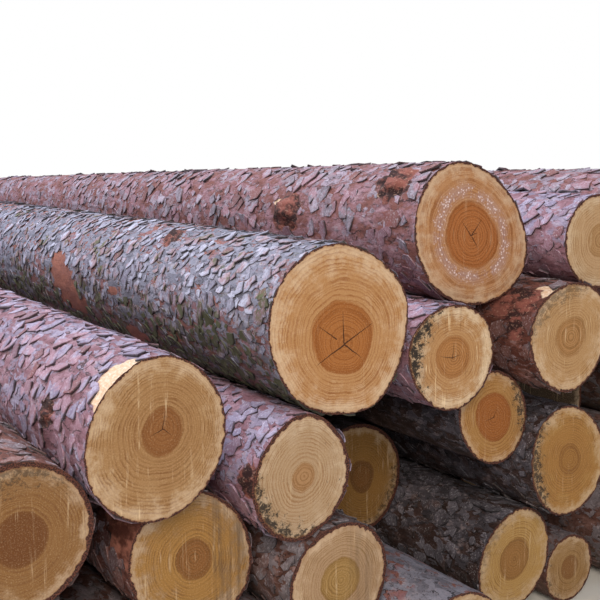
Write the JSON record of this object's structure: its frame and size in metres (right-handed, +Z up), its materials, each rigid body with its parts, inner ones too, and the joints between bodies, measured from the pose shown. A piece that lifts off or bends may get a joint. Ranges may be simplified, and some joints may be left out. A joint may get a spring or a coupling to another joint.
{
  "type": "stack of logs",
  "caption": "Loose heap of round pine logs, sawn to length, with bark on and the sawn end faces lined up at one side.",
  "frame": {"origin": "middle of the heap's footprint, on the ground", "axes": "+Z up, +Y along the logs away from the sawn faces seen in the picture, +X across the heap to the right as seen from those faces"},
  "size_m": [2.516, 4.267, 0.9409],
  "materials": {
    "bottom_row_log_1_wood": "rough bark round the stem, sawn faces at the ends",
    "bottom_row_log_2_wood": "rough bark round the stem, sawn faces at the ends",
    "bottom_row_log_3_wood": "rough bark round the stem, sawn faces at the ends",
    "bottom_row_log_4_wood": "rough bark round the stem, sawn faces at the ends",
    "bottom_row_log_5_wood": "rough bark round the stem, sawn faces at the ends",
    "bottom_front_log_wood": "rough bark round the stem, sawn faces at the ends",
    "bottom_right_log_wood": "rough bark round the stem, sawn faces at the ends",
    "bottom_row_log_8_wood": "rough bark round the stem, sawn faces at the ends",
    "bottom_row_log_9_wood": "rough bark round the stem, sawn faces at the ends",
    "bottom_row_log_10_wood": "rough bark round the stem, sawn faces at the ends",
    "second_row_log_1_wood": "rough bark round the stem, sawn faces at the ends",
    "second_row_log_2_wood": "rough bark round the stem, sawn faces at the ends",
    "lower_front_log_wood": "rough bark round the stem, sawn faces at the ends",
    "lower_middle_log_wood": "rough bark round the stem, sawn faces at the ends",
    "recessed_log_wood": "rough bark round the stem, sawn faces at the ends",
    "skewed_right_log_wood": "rough bark round the stem, sawn faces at the ends",
    "second_row_log_7_wood": "rough bark round the stem, sawn faces at the ends",
    "second_row_log_8_wood": "rough bark round the stem, sawn faces at the ends",
    "second_row_log_9_wood": "rough bark round the stem, sawn faces at the ends",
    "lower_left_log_wood": "rough bark round the stem, sawn faces at the ends",
    "middle_log_wood": "rough bark round the stem, sawn faces at the ends",
    "inner_log_wood": "rough bark round the stem, sawn faces at the ends",
    "right_middle_log_wood": "rough bark round the stem, sawn faces at the ends",
    "third_row_log_5_wood": "rough bark round the stem, sawn faces at the ends",
    "left_front_log_wood": "rough bark round the stem, sawn faces at the ends",
    "small_inner_log_wood": "rough bark round the stem, sawn faces at the ends",
    "fourth_row_log_3_wood": "rough bark round the stem, sawn faces at the ends",
    "upper_inner_log_wood": "rough bark round the stem, sawn faces at the ends",
    "upper_right_log_wood": "rough bark round the stem, sawn faces at the ends",
    "big_middle_log_wood": "rough bark round the stem, sawn faces at the ends",
    "top_log_wood": "rough bark round the stem, sawn faces at the ends",
    "back_top_log_wood": "rough bark round the stem, sawn faces at the ends",
    "far_right_top_log_wood": "rough bark round the stem, sawn faces at the ends"
  },
  "bodies": {
    "root": {"bottom_row_log_1": "bottom_row_log_1_wood", "bottom_row_log_2": "bottom_row_log_2_wood", "bottom_row_log_3": "bottom_row_log_3_wood", "bottom_row_log_4": "bottom_row_log_4_wood", "bottom_row_log_5": "bottom_row_log_5_wood", "bottom_front_log": "bottom_front_log_wood", "bottom_right_log": "bottom_right_log_wood", "bottom_row_log_8": "bottom_row_log_8_wood", "bottom_row_log_9": "bottom_row_log_9_wood", "bottom_row_log_10": "bottom_row_log_10_wood", "second_row_log_1": "second_row_log_1_wood", "second_row_log_2": "second_row_log_2_wood", "lower_front_log": "lower_front_log_wood", "lower_middle_log": "lower_middle_log_wood", "recessed_log": "recessed_log_wood", "skewed_right_log": "skewed_right_log_wood", "second_row_log_7": "second_row_log_7_wood", "second_row_log_8": "second_row_log_8_wood", "second_row_log_9": "second_row_log_9_wood", "lower_left_log": "lower_left_log_wood", "middle_log": "middle_log_wood", "inner_log": "inner_log_wood", "right_middle_log": "right_middle_log_wood", "third_row_log_5": "third_row_log_5_wood", "left_front_log": "left_front_log_wood", "small_inner_log": "small_inner_log_wood", "fourth_row_log_3": "fourth_row_log_3_wood", "upper_inner_log": "upper_inner_log_wood", "upper_right_log": "upper_right_log_wood", "big_middle_log": "big_middle_log_wood", "top_log": "top_log_wood", "back_top_log": "back_top_log_wood", "far_right_top_log": "far_right_top_log_wood"}
  },
  "joints": []
}
